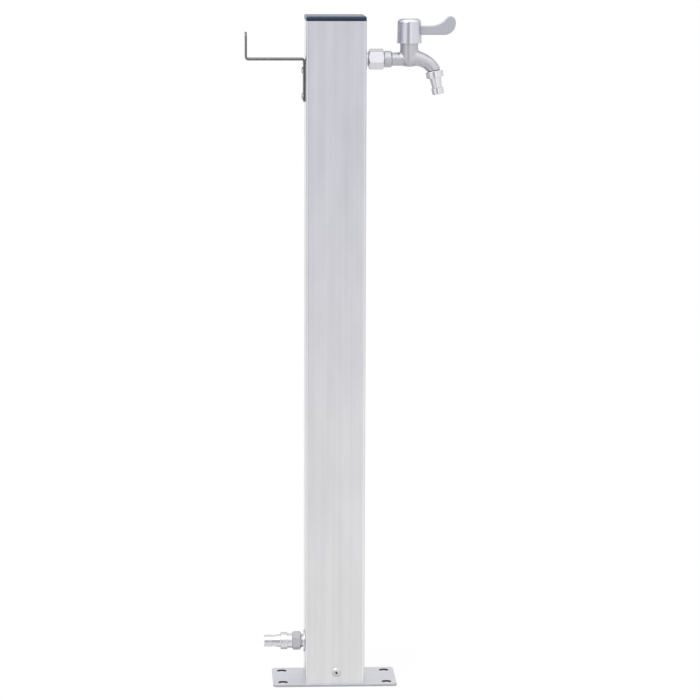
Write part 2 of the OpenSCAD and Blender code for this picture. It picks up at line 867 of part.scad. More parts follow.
module outlet_bulkhead() {
    at_tap(0) bulkhead(nut_mid - gasket_t / 2);
}

module tap_nut() {
    color([0.82, 0.82, 0.85])
    at_tap(nut_at) rotate(-tap_nut_turn) hex_nut(tap_nut_af, tap_nut_l, thread_d + 2 * thread_fit);
}

module tap_gasket() {
    at_tap(nut_mid) joint_gasket();
}

// Collar, pipe, barrel and bent spout in one casting
module tap_body() {
    stub_at = nut_mid + gasket_t / 2;
    belly_steps = 6;
    belly_h = barrel_belly / 2;
    color([0.68, 0.68, 0.70])
    difference() {
        union() {
            at_tap(0) turned([
                [0, stub_at], [thread_d / 2, stub_at], [thread_d / 2, nut_end],
                [tap_collar_d / 2 - collar_edge, nut_end], [tap_collar_d / 2, nut_end + collar_edge],
                [tap_collar_d / 2, collar_end - collar_edge],
                [tap_pipe_d / 2, collar_end - collar_edge + collar_cone],
                [tap_pipe_d / 2, valve_reach], [0, valve_reach]
            ]);
            at_valve() turned(concat(
                [for (i = [0:belly_steps]) let (a = -90 + 90 * i / belly_steps)
                    [barrel_d / 2 * cos(a), belly_h - barrel_belly + belly_h * sin(a)]],
                [[barrel_d / 2, barrel_top - barrel_edge], [barrel_d / 2 - barrel_edge, barrel_top],
                 [0, barrel_top]]
            ));
            at_valve() swept(spout_path, spout_root_r, spout_d / 2, spout_sides, spout_pinch);
        }
        at_tap(stub_at - cut) cylinder(d = bore_d, h = collar_end - stub_at + cut);
        translate([0, 0, -way_drop]) at_tap(collar_end - cut)
            cylinder(d = way_d, h = valve_reach - collar_end + way_d / 2);
        at_valve() {
            translate([0, 0, -way_drop]) cylinder(d = seat_way_d, h = seat_z + way_drop + cut);
            translate([0, 0, seat_z]) cylinder(d = chamber_d, h = barrel_top - seat_z + cut);
            swept(way_path, way_root_r, way_end_r, way_sides);
        }
        at_spout_end() translate([0, 0, -nozzle_thread_l - stub_gap])
            cylinder(d = nozzle_thread_d + 2 * thread_fit, h = nozzle_thread_l + stub_gap + cut);
    }
}

module valve_seal() {
    color([0.12, 0.12, 0.12])
        at_valve() translate([0, 0, seat_z]) ring(disc_d, way_d, seal_top - seat_z);
}

// Two facing quarter ports, the first of them towards +X
module disc_ports(h) {
    inner_r = disc_port_rim;
    outer_r = disc_d / 2 - disc_port_rim;
    half = 40;
    linear_extrude(h) for (turn = [0, 180]) rotate(turn) intersection() {
        difference() { circle(r = outer_r); circle(r = inner_r); }
        polygon([[0, 0], disc_d * [cos(half), -sin(half)], disc_d * [cos(half), sin(half)]]);
    }
}

module fixed_disc() {
    color([0.93, 0.93, 0.90])
    at_valve() translate([0, 0, seal_top]) difference() {
        cylinder(d = disc_d, h = fixed_top - seal_top);
        translate([0, 0, -cut]) disc_ports(fixed_top - seal_top + 2 * cut);
    }
}

module turning_disc() {
    color([0.90, 0.90, 0.88])
    at_valve() translate([0, 0, turning_low]) difference() {
        cylinder(d = disc_d, h = turning_top - turning_low);
        translate([0, 0, -cut]) rotate(90) disc_ports(turning_top - turning_low + 2 * cut);
    }
}

// Sleeve round the discs with a window to the spout, a guide for the spindle and a hexagon on top
module valve_cartridge() {
    skirt_in = disc_d + 2 * disc_clear;
    color([0.76, 0.68, 0.44])
    at_valve() difference() {
        union() {
            translate([0, 0, seal_top]) cylinder(d = cartridge_d, h = barrel_top - seal_top);
            translate([0, 0, barrel_top]) chamfered_hex(cartridge_hex_af, cartridge_hex_h);
            translate([0, 0, barrel_top]) cylinder(d = cartridge_neck_d, h = cartridge_top - barrel_top);
        }
        translate([0, 0, seal_top - cut]) cylinder(d = skirt_in, h = cartridge_roof - seal_top + cut);
        translate([0, 0, seal_top]) cylinder(d = spindle_d + 2 * shaft_fit, h = cartridge_top);
        translate([0, -disc_d / 4, turning_top]) cube([cartridge_d, disc_d / 2, drive_top - turning_top]);
    }
}

module spindle() {
    color([0.78, 0.70, 0.46])
    at_valve() difference() {
        union() {
            translate([0, 0, turning_top]) difference() {
                cylinder(d = disc_d, h = drive_top - turning_top);
                translate([0, 0, -cut]) rotate(90) disc_ports(drive_top - turning_top + 2 * cut);
            }
            translate([0, 0, turning_top])
                cylinder(d = spindle_d, h = hub_roof - spindle_shoulder_gap - turning_top);
            translate([-spindle_square / 2, -spindle_square / 2, turning_top])
                cube([spindle_square, spindle_square, spindle_top - turning_top]);
        }
        translate([0, 0, spindle_top - handle_screw_l])
            cylinder(d = handle_screw_d + 2 * thread_fit, h = handle_screw_l + cut);
    }
}

module lever_outline() {
    rise = atan2(lever_tip[1] - lever_end[1], lever_tip[0] - lever_end[0]);
    difference() {
        union() {
            translate(lever_end) rotate(rise) difference() {
                circle(r = lever_end_r);
                translate([-lever_end_r - cut, 0]) square([2 * lever_end_r + 2 * cut, lever_end_r + cut]);
            }
            translate(lever_tip) circle(r = lever_tip_r);
            polygon([
                [0, lever_low], [lever_end[0], lever_low], lever_end, lever_tip, hollow_meet,
                [hollow[0], lever_high], [0, lever_high]
            ]);
        }
        translate(hollow) circle(r = lever_hollow_r);
    }
}

// Bell-shaped hub with a flat lever whose end rises to a round tip
module tap_handle() {
    shoulder_steps = 6;
    square_hole = spindle_square + 2 * square_clear;
    color([0.80, 0.80, 0.84])
    at_valve() difference() {
        union() {
            turned(concat(
                [[0, hub_foot], [hub_d / 2 - hub_foot_edge, hub_foot], [hub_d / 2, hub_foot + hub_foot_edge]],
                arc([hub_top_d / 2 - hub_shoulder_r, hub_top - hub_shoulder_r], hub_shoulder_r,
                    0, 90, shoulder_steps),
                [[0, hub_top]]
            ));
            translate([0, lever_t / 2, hub_foot]) rotate([90, 0, 0]) linear_extrude(lever_t)
                lever_outline();
        }
        translate([0, 0, hub_foot - cut]) cylinder(d = hub_cavity_d, h = hub_roof - hub_foot + cut);
        translate([-square_hole / 2, -square_hole / 2, hub_roof - cut])
            cube([square_hole, square_hole, hub_web + 2 * cut]);
        translate([0, 0, hub_floor]) cylinder(d = handle_well_d, h = hub_top);
        translate([0, 0, hub_cap_floor]) cylinder(d = hub_cap_d, h = hub_top);
    }
}

module handle_screw() {
    color([0.70, 0.70, 0.72])
    at_valve() translate([0, 0, hub_floor]) difference() {
        domed_screw(handle_head_d, handle_head_h, handle_head_h / 3, handle_screw_d,
            handle_screw_l - handle_screw_tip_gap);
        translate([0, 0, handle_head_h / 2])
            cylinder(d = handle_key_af / cos(30), h = handle_head_h, $fn = 6);
    }
}

module handle_cap() {
    color([0.84, 0.84, 0.87])
    at_valve() translate([0, 0, hub_cap_floor])
        turned([
            [0, 0], [hub_cap_d / 2 - shaft_fit, 0], [hub_cap_d / 2 - shaft_fit, hub_cap_t - handle_cap_edge],
            [hub_cap_d / 2 - handle_cap_edge, hub_cap_t], [0, hub_cap_t]
        ]);
}

module nozzle_washer() {
    color([0.12, 0.12, 0.12])
        at_spout_end() ring(nozzle_washer_d, nozzle_thread_d + 2 * thread_fit, nozzle_washer_t);
}

module outlet_nozzle() {
    color([0.84, 0.84, 0.86])
    at_spout_end() translate([0, 0, nozzle_washer_t])
        hose_plug(nozzle_washer_t, nozzle_thread_d, nozzle_thread_l - nozzle_washer_t, nozzle_thread_d,
            nozzle_collar_d, nozzle_collar_l, nozzle_waist_l, nozzle_waist_root_d, nozzle_waist_end_d,
            nozzle_tip_l, nozzle_tip_d, nozzle_bore);
}

post_tube();
top_cap();
base_plate();
base_socket();
base_screws();
base_nuts();
hose_hook();
hook_screws();
hook_nuts();
inlet_plug();
inlet_coupling();
inlet_gasket();
inlet_bulkhead();
inlet_seal();
inlet_lock_nut();
inlet_elbow();
lower_hose_washer();
lower_hose_tail();
lower_hose_nut();
lower_ferrule();
riser_hose();
upper_ferrule();
upper_hose_nut();
upper_hose_tail();
upper_hose_washer();
outlet_elbow();
outlet_lock_nut();
outlet_seal();
outlet_bulkhead();
tap_nut();
tap_gasket();
tap_body();
valve_seal();
fixed_disc();
valve_cartridge();
nozzle_washer();
outlet_nozzle();
turning_disc();
spindle();
tap_handle();
handle_screw();
handle_cap();
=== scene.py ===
import math

import bmesh
import bpy
from mathutils import Euler, Matrix, Vector


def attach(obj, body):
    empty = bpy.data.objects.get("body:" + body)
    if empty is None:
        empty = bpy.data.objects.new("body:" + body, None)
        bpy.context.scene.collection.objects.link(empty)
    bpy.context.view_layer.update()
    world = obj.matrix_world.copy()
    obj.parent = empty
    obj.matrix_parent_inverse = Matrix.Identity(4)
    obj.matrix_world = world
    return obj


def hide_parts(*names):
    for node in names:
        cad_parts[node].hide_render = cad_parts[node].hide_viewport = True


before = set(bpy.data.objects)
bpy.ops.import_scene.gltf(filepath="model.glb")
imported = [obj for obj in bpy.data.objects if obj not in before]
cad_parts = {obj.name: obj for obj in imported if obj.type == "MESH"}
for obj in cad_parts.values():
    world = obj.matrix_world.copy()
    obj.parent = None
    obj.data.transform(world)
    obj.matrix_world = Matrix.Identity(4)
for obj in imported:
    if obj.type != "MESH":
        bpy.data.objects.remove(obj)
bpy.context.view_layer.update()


# Post: a square stainless tube, drawn and brushed along its length.
# It is cut to length, drilled for the fittings, and closed by the cap.
mm = 0.001
post_face = 42 * mm


class Wire:
    """A socket in a material, on which sums can be written as on a number."""

    def __init__(self, tree, socket=None):
        self.tree, self.socket = tree, socket

    def node(self, kind, settings={}, inputs={}, output=0):
        made = self.tree.nodes.new("ShaderNode" + kind)
        for name, value in settings.items():
            setattr(made, name, value)
        for name, value in inputs.items():
            if isinstance(value, Wire):
                self.tree.links.new(value.socket, made.inputs[name])
            else:
                made.inputs[name].default_value = value
        return Wire(self.tree, made.outputs[output])

    def maths(self, operation, first, second):
        return self.node("Math", {"operation": operation}, {0: first, 1: second})

    def __add__(self, other):
        return self.maths("ADD", self, other)

    def __sub__(self, other):
        return self.maths("SUBTRACT", self, other)

    def __rsub__(self, other):
        return self.maths("SUBTRACT", other, self)

    def __mul__(self, other):
        return self.maths("MULTIPLY", self, other)

    __radd__, __rmul__ = __add__, __mul__

    def between(self, low, high):
        """Rises smoothly from 0 at low to 1 at high."""
        return self.node("MapRange", {"interpolation_type": "SMOOTHSTEP"},
                         {"Value": self, "From Min": low, "From Max": high})

    def noise(self, stretch, detail=2.0, roughness=0.5):
        """Soft random patches or lines, finer along each axis the larger its stretch."""
        scaled = self.node("Mapping", {}, {"Vector": self, "Scale": stretch})
        return self.node("TexNoise", {}, {"Vector": scaled, "Scale": 1.0, "Detail": detail,
                                          "Roughness": roughness})

    def blend(self, first, second):
        """The first colour where this wire is 0, the second where it is 1."""
        return self.node("Mix", {"data_type": "RGBA"}, {0: self, 6: first, 7: second}, output=2)

    def part(self, axis):
        return self.node("SeparateXYZ", {}, {0: self}, output="XYZ".index(axis))


def new_finish(name, metallic, roughness, **constants):
    """A material, its shader, and a wire with the place on the object."""
    made = bpy.data.materials.new(name)
    made.use_nodes = True
    tree = made.node_tree
    shader = tree.nodes["Principled BSDF"]
    for socket, value in {"Metallic": metallic, "Roughness": roughness, **constants}.items():
        shader.inputs[socket].default_value = value
    place = Wire(tree).node("TexCoord", output=3)
    return made, shader, place


def feed(shader, socket, wire):
    """Lets a wire drive one socket of the shader."""
    wire.tree.links.new(wire.socket, shader.inputs[socket])


def relief(shader, height, depth, strength):
    """Fine relief, up to a depth, that follows a height."""
    bumps = {"Height": height, "Distance": depth, "Strength": strength}
    feed(shader, "Normal", height.node("Bump", {}, bumps))


def dress(finish, *nodes):
    """Gives CAD pieces that keep their own shape a finish."""
    for node in nodes:
        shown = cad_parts[node]
        if not shown.material_slots:
            shown.data.materials.append(finish)
        for spot in shown.material_slots:
            spot.material = finish


def grey(level, blue=0.0):
    """A grey, with a little more blue where the steel looks cold."""
    return (level, level, level + blue, 1.0)


post_steel, shader, place = new_finish("brushed_post_steel", 1.0, 0.3)
brush = place.noise((700, 700, 5), 3.0, 0.65)
streaks = place.noise((170, 170, 1.6), 2.0).between(0.34, 0.66)
clouds = place.noise((26, 26, 7), 3.0, 0.6).between(0.34, 0.66)
# Painted reflection: the post's steel is lighter and less blue towards its foot, as the floor's glow
# would show in it.
height = place.part("Z").between(100 * mm, 900 * mm)
# Painted shade: the post's right half is a little darker over its upper half.
painted_shade_right_half = place.part("X").between(-6 * mm, 4 * mm)
painted_shade_upper_half = place.part("Z").between(350 * mm, 750 * mm)
shade = brush * 0.2 + streaks * 0.3 + clouds * 0.3 + painted_shade_right_half * painted_shade_upper_half * 0.2
light_steel = height.blend(grey(0.83, 0.010), grey(0.72, 0.062))
dark_steel = height.blend(grey(0.71, 0.010), grey(0.605, 0.060))
feed(shader, "Base Color", shade.blend(light_steel, dark_steel))
feed(shader, "Roughness", 0.24 + brush * 0.16)
relief(shader, brush, 0.02 * mm, 0.5)
dress(post_steel, "post_tube")


# Base plate: laser-cut from 3 mm steel, brushed, its edges broken by a file.
# The short square socket is welded upright on it and stands inside the post.
plate_long, plate_wide, plate_thick = 176 * mm, 100 * mm, 3 * mm
plate_corner, plate_edge = 6 * mm, 0.4 * mm
anchor_spots = [(x * mm, y * mm) for x in (-74, 74) for y in (-33, 33)]
anchor_hole_r = 7 * mm
sliver = 0.004 * mm


def alone(piece):
    """Selects one piece and nothing else."""
    bpy.ops.object.select_all(action="DESELECT")
    piece.select_set(True)
    bpy.context.view_layer.objects.active = piece


def choose(piece, test, kind="faces"):
    """In edit mode, selects the faces, edges or vertices whose middle passes the test."""
    bpy.ops.mesh.select_mode(type=kind[:4].upper() if kind != "vertices" else "VERT")
    bpy.ops.mesh.select_all(action="DESELECT")
    shape = bmesh.from_edit_mesh(piece.data)
    for item in {"faces": shape.faces, "edges": shape.edges, "vertices": shape.verts}[kind]:
        if kind == "faces":
            item.select_set(test(item.calc_center_median(), item.normal))
        elif kind == "edges":
            item.select_set(test(*(v.co for v in item.verts)))
        else:
            item.select_set(test(item.co))
    shape.select_flush_mode()
    bmesh.update_edit_mesh(piece.data)


def modify(piece, kind, **settings):
    """Adds a modifier to a piece and applies it."""
    alone(piece)
    made = piece.modifiers.new(kind.lower(), kind)
    for name, value in settings.items():
        setattr(made, name, value)
    bpy.ops.object.modifier_apply(modifier=made.name)


def carve(piece, tool, operation="DIFFERENCE"):
    """Cuts, joins or crosses a piece with a closed tool, throws the tool away and mends slivers."""
    modify(piece, "BOOLEAN", object=tool, operation=operation, solver="EXACT")
    bpy.data.objects.remove(tool)
    bpy.ops.object.mode_set(mode="EDIT")
    bpy.ops.mesh.select_all(action="SELECT")
    bpy.ops.mesh.remove_doubles(threshold=sliver)
    bpy.ops.mesh.dissolve_degenerate(threshold=sliver)
    bpy.ops.object.mode_set(mode="OBJECT")


def soften(piece, width, segments=2, angle=35):
    """Rounds the edges that are sharper than an angle, then shades the piece."""
    modify(piece, "BEVEL", width=width, segments=segments, limit_method="ANGLE",
           angle_limit=math.radians(angle))
    smooth(piece)


def smooth(piece, angle=32):
    """Smooth shading up to an angle, with the large faces left flat beside their rounded edges."""
    alone(piece)
    bpy.ops.object.shade_smooth_by_angle(angle=math.radians(angle))
    modify(piece, "WEIGHTED_NORMAL", keep_sharp=True)


def stand(piece, spot, turn=(0, 0, 0)):
    """Turns a piece by degrees, moves it to its spot, and leaves its object at the origin."""
    alone(piece)
    piece.rotation_euler = [math.radians(a) for a in turn]
    piece.location = spot
    bpy.ops.object.transform_apply(location=True, rotation=True, scale=True)


def drill(radius, low, high, spot=(0, 0, 0), turn=(0, 0, 0), sides=64):
    """A round tool along Z from low to high, stood at its spot."""
    bpy.ops.object.select_all(action="DESELECT")
    bpy.ops.mesh.primitive_cylinder_add(vertices=sides, radius=radius, depth=high - low,
                                        location=(0, 0, (low + high) / 2))
    tool = bpy.context.object
    bpy.ops.object.transform_apply(location=True, rotation=True, scale=True)
    stand(tool, spot, turn)
    return tool


def fit(piece, name, node, finish, body="standpipe"):
    """Names a finished piece, gives it its finish, and lets it stand for its CAD node."""
    piece.name = piece.data.name = name
    piece.data.materials.clear()
    piece.data.materials.append(finish)
    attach(piece, body)
    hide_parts(node)


def size_of(wire):
    """A wire without its sign."""
    return wire.node("Math", {"operation": "ABSOLUTE"}, {0: wire})


def near(first, second, radius):
    """One within a radius, and nothing outside it, for a place given as two offsets."""
    return 1 - (first * first + second * second).between(radius ** 2 * 0.9, radius ** 2 * 1.1)


plate_steel, shader, place = new_finish("brushed_plate_steel", 1.0, 0.32)
brush = place.noise((8, 900, 900), 3.0, 0.6)
clouds = place.noise((40, 40, 40), 3.0)
upright = place.node("NewGeometry", output=1).part("Z")
# Painted shade: the plate's upright faces, its sides and its hole walls, are darker than its top.
shaded_upright_face = 1 - (upright * upright).between(0.1, 0.5)
# Painted shade: the walls of the anchor holes are near black.
hole_x, hole_y = anchor_spots[-1]
painted_hole_shade = near(size_of(place.part("X")) - hole_x, size_of(place.part("Y")) - hole_y,
                 anchor_hole_r + 0.2 * mm)
face = (brush * 0.5 + clouds * 0.5).blend(grey(0.71, 0.058), grey(0.59, 0.048))
face = (shaded_upright_face * 0.62).blend(face, grey(0.34, 0.02))
feed(shader, "Base Color", (painted_hole_shade * shaded_upright_face).blend(face, grey(0.05, 0.008)))
feed(shader, "Roughness", 0.34 + brush * 0.18)
relief(shader, brush, 0.02 * mm, 0.5)

bpy.ops.object.select_all(action="DESELECT")
bpy.ops.mesh.primitive_cube_add(size=1, location=(0, 0, plate_thick / 2),
                                scale=(plate_long, plate_wide, plate_thick))
plate = bpy.context.object
stand(plate, plate.location.copy())
bpy.ops.object.mode_set(mode="EDIT")
choose(plate, lambda a, b: abs(a.z - b.z) > plate_thick / 2, "edges")
bpy.ops.mesh.bevel(offset=plate_corner, segments=12, affect="EDGES")
bpy.ops.object.mode_set(mode="OBJECT")
for x, y in anchor_spots:
    carve(plate, drill(anchor_hole_r, -plate_thick, 2 * plate_thick, (x, y, 0)))
soften(plate, plate_edge)
fit(plate, "floor_plate", "base_plate", plate_steel)
dress(plate_steel, "base_socket")


# Socket screws: two domed stainless screws through the post and the socket,
# held by plain zinc nuts on the inside.
screw_x, screw_height, key_shade_r = 2 * mm, 18.9 * mm, 1.7 * mm

bright_steel, shader, place = new_finish("bright_screw_steel", 1.0, 0.2)
marks = place.noise((900, 900, 900), 2.0)
# Painted shade: a dark spot over the base screws' key recess.
painted_key_shade = near(place.part("X") - screw_x, place.part("Z") - screw_height, key_shade_r)
metal = marks.blend(grey(0.66, 0.02), grey(0.56, 0.02))
feed(shader, "Base Color", painted_key_shade.blend(metal, grey(0.12)))
feed(shader, "Roughness", 0.3 + marks * 0.14)
relief(shader, marks, 0.01 * mm, 0.4)

zinc, shader, place = new_finish("zinc_nut_steel", 1.0, 0.4)
spangle = place.noise((300, 300, 300), 3.0)
feed(shader, "Base Color", spangle.blend(grey(0.62, 0.02), (0.48, 0.47, 0.43, 1)))
feed(shader, "Roughness", 0.32 + spangle * 0.2)
relief(shader, spangle, 0.02 * mm, 0.5)
dress(bright_steel, "base_screws")
dress(zinc, "base_nuts", "hook_nuts")


# Hose hook: one flat steel strip bent twice, its ends rounded and its edges
# broken. Two slotted screws hold its leg on the left face of the post.
hook_wide, hook_thick = 30 * mm, 3 * mm
hook_top, hook_reach = 890.7 * mm, 84.5 * mm
hook_up, hook_leg = 36 * mm, 60.7 * mm
hook_bend, hook_corner, hook_edge = 5 * mm, 6 * mm, 0.45 * mm
hook_hole_r = 2.8 * mm
hook_screw_heights = (873.2 * mm, 837 * mm)

hook_steel, shader, place = new_finish("hook_steel", 1.0, 0.34)
grain = place.noise((60, 900, 60), 3.0, 0.6)
patches = place.noise((70, 70, 70), 2.0)
# Painted shade: the hook's leg, beside the post, is darker than its top.
upper = place.part("Z").between(hook_top - 12 * mm, hook_top + 8 * mm)
light_strip = upper.blend(grey(0.20, 0.014), grey(0.25, 0.014))
dark_strip = upper.blend(grey(0.115, 0.010), grey(0.155, 0.010))
feed(shader, "Base Color", (grain * 0.25 + patches * 0.75).blend(light_strip, dark_strip))
feed(shader, "Roughness", 0.32 + grain * 0.12)
relief(shader, grain, 0.01 * mm, 0.4)

mid = hook_thick / 2
leg_x, out_x = -post_face - mid, -post_face - hook_reach + mid
bend, top_edge = hook_bend - mid, hook_top - hook_bend
hair = 0.1 * mm
bpy.ops.object.select_all(action="DESELECT")
bpy.ops.mesh.primitive_plane_add(size=1)
hook = bpy.context.object
hook.scale = (hook_leg - bend - mid, hook_wide, 1)
stand(hook, (leg_x, 0, hook_top - (hook_leg + bend + mid) / 2), (0, 90, 0))
bpy.ops.object.mode_set(mode="EDIT")
choose(hook, lambda a, b: min(a.z, b.z) > top_edge - hair, "edges")
bpy.ops.mesh.spin(steps=8, angle=math.pi / 2, center=(leg_x - bend, 0, top_edge), axis=(0, 1, 0))
bpy.ops.mesh.extrude_region_move(
    TRANSFORM_OT_translate={"value": (-(hook_reach - mid - 2 * bend - mid), 0, 0)})
bpy.ops.mesh.spin(steps=8, angle=-math.pi / 2, center=(out_x + bend, 0, hook_top - mid + bend),
                  axis=(0, 1, 0))
bpy.ops.mesh.extrude_region_move(
    TRANSFORM_OT_translate={"value": (0, 0, hook_up + mid - bend)})
bpy.ops.mesh.select_all(action="SELECT")
bpy.ops.mesh.remove_doubles(threshold=0.01 * mm)
bpy.ops.mesh.normals_make_consistent(inside=False)
choose(hook, lambda at: abs(at.y) > hook_wide / 2 - hair and
       (at.z > hook_top + hook_up - hair or at.z < hook_top - hook_leg + hair), "vertices")
bpy.ops.mesh.bevel(offset=hook_corner, segments=8, affect="VERTICES")
bpy.ops.object.mode_set(mode="OBJECT")
modify(hook, "SOLIDIFY", thickness=hook_thick, offset=0)
for z in hook_screw_heights:
    carve(hook, drill(hook_hole_r, -10 * mm, 10 * mm, (leg_x, 0, z), (0, 90, 0), 48))
soften(hook, hook_edge, 3)
fit(hook, "hose_hook_strip", "hose_hook", hook_steel)
dress(bright_steel, "hook_screws")


# Wall fittings: turned brass tails, chromed, each with a round flange outside
# and a parallel thread. A rubber seal and a brass nut clamp them from inside.
inlet_height, tap_height = 56 * mm, 889 * mm
thread_r, thread_pitch, thread_deep = 10.48 * mm, 1.814 * mm, 1.1 * mm
tail_deep, flange_r, flange_thick, water_r = 20.3 * mm, 16 * mm, 2 * mm, 6 * mm


def turned(stations, sides=96):
    """Turns a closed ring from stations of radius and height, as on a lathe round Z."""
    radius, z = stations[0]
    bpy.ops.object.select_all(action="DESELECT")
    bpy.ops.mesh.primitive_circle_add(vertices=sides, radius=radius, enter_editmode=True)
    piece = bpy.context.object
    bpy.ops.transform.translate(value=(0, 0, z))
    for new_radius, new_z in stations[1:]:
        bpy.ops.mesh.extrude_region_move(TRANSFORM_OT_translate={"value": (0, 0, new_z - z)})
        grow = new_radius / radius
        bpy.ops.transform.resize(value=(grow, grow, 1), center_override=(0, 0, new_z))
        radius, z = new_radius, new_z
    bpy.ops.mesh.select_mode(type="EDGE")
    bpy.ops.mesh.select_all(action="DESELECT")
    bpy.ops.mesh.select_non_manifold()
    bpy.ops.mesh.bridge_edge_loops()
    bpy.ops.mesh.select_all(action="SELECT")
    bpy.ops.mesh.normals_make_consistent(inside=False)
    bpy.ops.object.mode_set(mode="OBJECT")
    return piece


def thread(low, high, crest=thread_r):
    """Stations up a thread from low to high, crest and root by turns."""
    turns = int((high - low) / thread_pitch)
    start = (high - low - turns * thread_pitch) / 2 + low
    rows = [(crest - thread_deep, low)]
    for turn in range(turns):
        z = start + turn * thread_pitch
        rows += [(crest - thread_deep, z + 0.1 * thread_pitch), (crest, z + 0.42 * thread_pitch),
                 (crest, z + 0.58 * thread_pitch), (crest - thread_deep, z + 0.9 * thread_pitch)]
    return rows + [(crest - thread_deep, high)]


def wall_fitting(reach):
    """Bored tail from inside the post to its reach outside, the flange's back at z = 0."""
    flange = [(flange_r - 0.4 * mm, 0), (flange_r, 0.4 * mm), (flange_r, flange_thick - 0.5 * mm),
              (flange_r - 0.5 * mm, flange_thick), (thread_r - thread_deep, flange_thick)]
    piece = turned([(water_r, -tail_deep)] + thread(-tail_deep, -0.2 * mm) + flange
                   + thread(flange_thick + 0.2 * mm, reach)[1:] + [(water_r, reach)])
    smooth(piece, 25)
    return piece


bright_chrome, shader, place = new_finish("bright_chrome", 1.0, 0.1)
haze = place.noise((120, 120, 120), 3.0)
fine = place.noise((1400, 1400, 1400), 2.0)
feed(shader, "Base Color", haze.blend(grey(0.76, 0.03), grey(0.69, 0.03)))
feed(shader, "Roughness", 0.04 + haze * 0.05 + fine * 0.03)
relief(shader, fine, 0.004 * mm, 0.4)

inlet_reach, outlet_reach = 11.1 * mm, 14.8 * mm
inlet_tail = wall_fitting(inlet_reach)
stand(inlet_tail, (-post_face, 0, inlet_height), (0, -90, 0))
fit(inlet_tail, "inlet_wall_fitting", "inlet_bulkhead", bright_chrome)
outlet_tail = wall_fitting(outlet_reach)
stand(outlet_tail, (post_face, 0, tap_height), (0, 90, 0))
fit(outlet_tail, "outlet_wall_fitting", "outlet_bulkhead", bright_chrome)

rubber, shader, place = new_finish("seal_rubber", 0.0, 0.6)
bloom = place.noise((500, 500, 500), 3.0)
feed(shader, "Base Color", bloom.blend(grey(0.012), grey(0.03)))
feed(shader, "Roughness", 0.5 + bloom * 0.2)
relief(shader, bloom, 0.03 * mm, 0.5)
dress(rubber, "inlet_seal", "inlet_gasket", "outlet_seal", "tap_gasket", "lower_hose_washer",
      "upper_hose_washer", "valve_seal", "nozzle_washer")


# Inlet: a hexagon coupling nut, and screwed into it a plug for a hose socket,
# with a round collar, a tapering waist and a plain tip. Brass, chromed.
end_slope, thread_bore_r = 38, 10.53 * mm
coupling_at, plug_at = 5.1 * mm, 24.8 * mm


def hexagon(flats, length, bore_r, edge, rim, turn=0):
    """A bored hexagon along Z from z = 0, with both ends turned to a cone."""
    corner_r = flats / 2 / math.cos(math.pi / 6)
    face_r, wide_r = flats / 2 - rim, corner_r + 0.2 * mm
    cone = min((wide_r - face_r) * math.tan(math.radians(end_slope)), length / 3)
    piece = turned([(bore_r, 0), (face_r, 0), (wide_r, cone), (wide_r, length - cone),
                    (face_r, length), (bore_r, length)])
    bar = drill(corner_r, -length, 2 * length, sides=6, turn=(0, 0, 90 + turn))
    carve(piece, bar, "INTERSECT")
    soften(piece, edge, 2, 25)
    return piece


satin_chrome, shader, place = new_finish("satin_nut_chrome", 1.0, 0.22)
mottle = place.noise((260, 260, 260), 4.0, 0.6)
feed(shader, "Base Color", mottle.blend(grey(0.66, 0.035), grey(0.49, 0.03)))
feed(shader, "Roughness", 0.14 + mottle * 0.2)
relief(shader, mottle, 0.01 * mm, 0.5)

coupling = hexagon(24 * mm, 13.2 * mm, thread_bore_r, edge=0.4 * mm, rim=0.9 * mm)
stand(coupling, (-post_face - coupling_at, 0, inlet_height), (0, -90, 0))
fit(coupling, "inlet_coupling_nut", "inlet_coupling", satin_chrome)


def hose_plug(stub, stub_r, neck, neck_r, collar_l, collar_r,
              waist_l, waist_r0, waist_r1, tip_l, tip_r, bore_r):
    """A bored plug along Z: thread and neck below z = 0, then collar, waist and tip."""
    waist_end = collar_l + waist_l
    end = waist_end + tip_l
    relief_l = neck * 0.15
    root_r = neck_r - 0.8 * mm
    shank = [(bore_r, -neck - stub), (stub_r - 0.5 * mm, -neck - stub),
             (stub_r, -neck - stub + 0.5 * mm), (stub_r, -neck), (neck_r, -neck),
             (neck_r, -relief_l), (root_r, -0.8 * relief_l), (root_r, 0)]
    edge = [(0.7 * mm, 0), (0.3 * mm, 0.1 * mm), (0.1 * mm, 0.3 * mm), (0, 0.7 * mm)]
    collar = ([(collar_r - inward, up) for inward, up in edge]
              + [(collar_r - inward, collar_l - up) for inward, up in edge[::-1]])
    waist = [(waist_r0 + 0.5 * mm, collar_l), (waist_r0, collar_l + 0.5 * mm),
             (waist_r1, waist_end - 0.8 * mm), (waist_r1 - 0.2 * mm, waist_end - 0.4 * mm),
             (waist_r1 - 0.2 * mm, waist_end)]
    tip = [(tip_r - 0.4 * mm, waist_end), (tip_r, waist_end + 0.4 * mm), (tip_r, end - 1.2 * mm),
           (tip_r - 0.25 * mm, end - 0.5 * mm), (tip_r - 0.7 * mm, end),
           (bore_r + 0.5 * mm, end), (bore_r, end - 0.5 * mm)]
    piece = turned(shank + collar + waist + tip)
    smooth(piece)
    return piece


plug = hose_plug(stub=6 * mm, stub_r=thread_r, neck=6.5 * mm, neck_r=10.8 * mm,
                 collar_l=10.2 * mm, collar_r=12.75 * mm,
                 waist_l=11.8 * mm, waist_r0=9.6 * mm, waist_r1=8.25 * mm,
                 tip_l=11.4 * mm, tip_r=8.85 * mm, bore_r=5 * mm)
stand(plug, (-post_face - plug_at, 0, inlet_height), (0, -90, 0))
fit(plug, "inlet_hose_plug", "inlet_plug", bright_chrome)


